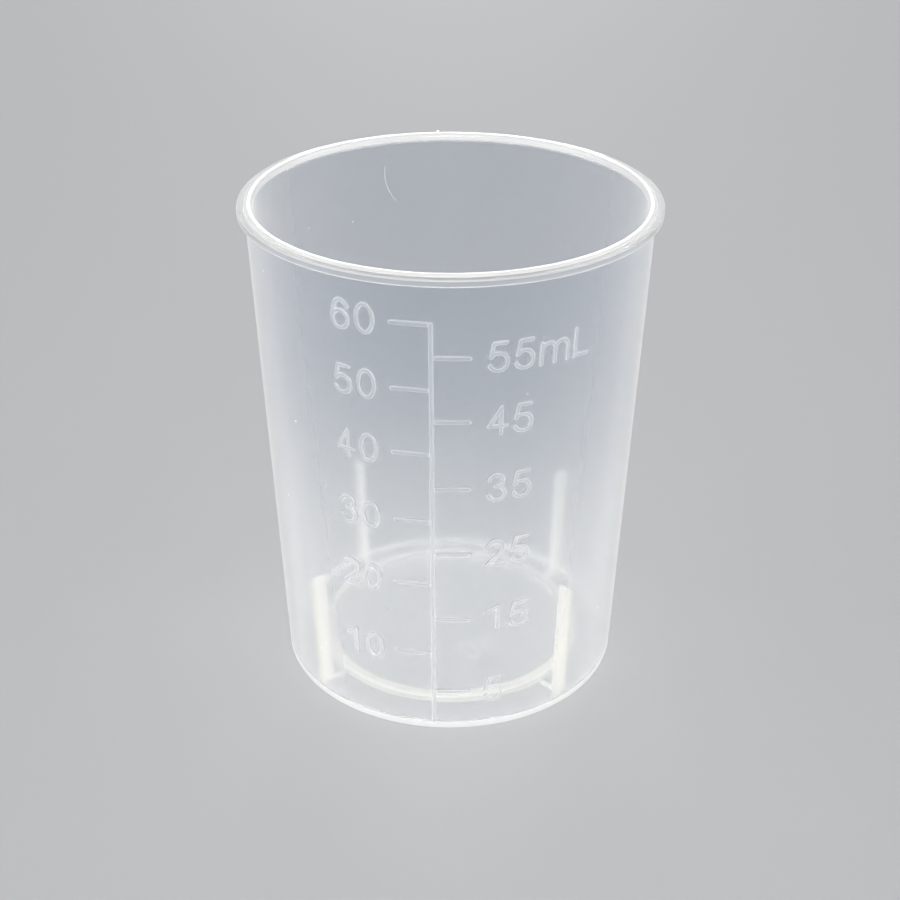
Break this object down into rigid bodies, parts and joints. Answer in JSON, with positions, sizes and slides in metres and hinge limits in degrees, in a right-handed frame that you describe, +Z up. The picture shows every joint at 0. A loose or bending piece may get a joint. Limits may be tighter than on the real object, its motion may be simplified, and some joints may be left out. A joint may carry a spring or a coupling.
{
  "type": "resin mixing cup",
  "caption": "Small translucent tapered mixing cup with a flanged rim, a raised floor, inner stacking ribs and a raised millilitre scale on the wall.",
  "frame": {"origin": "on the table, at the middle of the cup's foot", "axes": "+Z up along the cup's axis, out of the mouth; the measuring scale faces -Y"},
  "size_m": [0.0452, 0.0452, 0.056],
  "materials": {
    "clear_polypropylene": "natural translucent polypropylene, smooth and slightly milky",
    "clear_polypropylene_marks": "the same natural polypropylene, raised strokes that look whiter than the wall"
  },
  "bodies": {
    "root": {"cup_wall": "clear_polypropylene", "rim_flange": "clear_polypropylene", "floor_ring": "clear_polypropylene", "floor_step": "clear_polypropylene", "floor_disc": "clear_polypropylene", "stacking_rib_front_left": "clear_polypropylene", "stacking_rib_front_right": "clear_polypropylene", "stacking_rib_back_right": "clear_polypropylene", "stacking_rib_back_left": "clear_polypropylene", "scale_spine": "clear_polypropylene_marks", "tick_5": "clear_polypropylene_marks", "tick_10": "clear_polypropylene_marks", "tick_15": "clear_polypropylene_marks", "tick_20": "clear_polypropylene_marks", "tick_25": "clear_polypropylene_marks", "tick_30": "clear_polypropylene_marks", "tick_35": "clear_polypropylene_marks", "tick_40": "clear_polypropylene_marks", "tick_45": "clear_polypropylene_marks", "tick_50": "clear_polypropylene_marks", "tick_55": "clear_polypropylene_marks", "tick_60": "clear_polypropylene_marks", "numeral_5": "clear_polypropylene_marks", "numeral_10": "clear_polypropylene_marks", "numeral_15": "clear_polypropylene_marks", "numeral_20": "clear_polypropylene_marks", "numeral_25": "clear_polypropylene_marks", "numeral_30": "clear_polypropylene_marks", "numeral_35": "clear_polypropylene_marks", "numeral_40": "clear_polypropylene_marks", "numeral_45": "clear_polypropylene_marks", "numeral_50": "clear_polypropylene_marks", "numeral_55": "clear_polypropylene_marks", "numeral_60": "clear_polypropylene_marks", "unit_mark_ml": "clear_polypropylene_marks", "gate_vestige": "clear_polypropylene_marks", "ring_mark": "clear_polypropylene_marks", "capacity_mark": "clear_polypropylene_marks"}
  },
  "joints": []
}
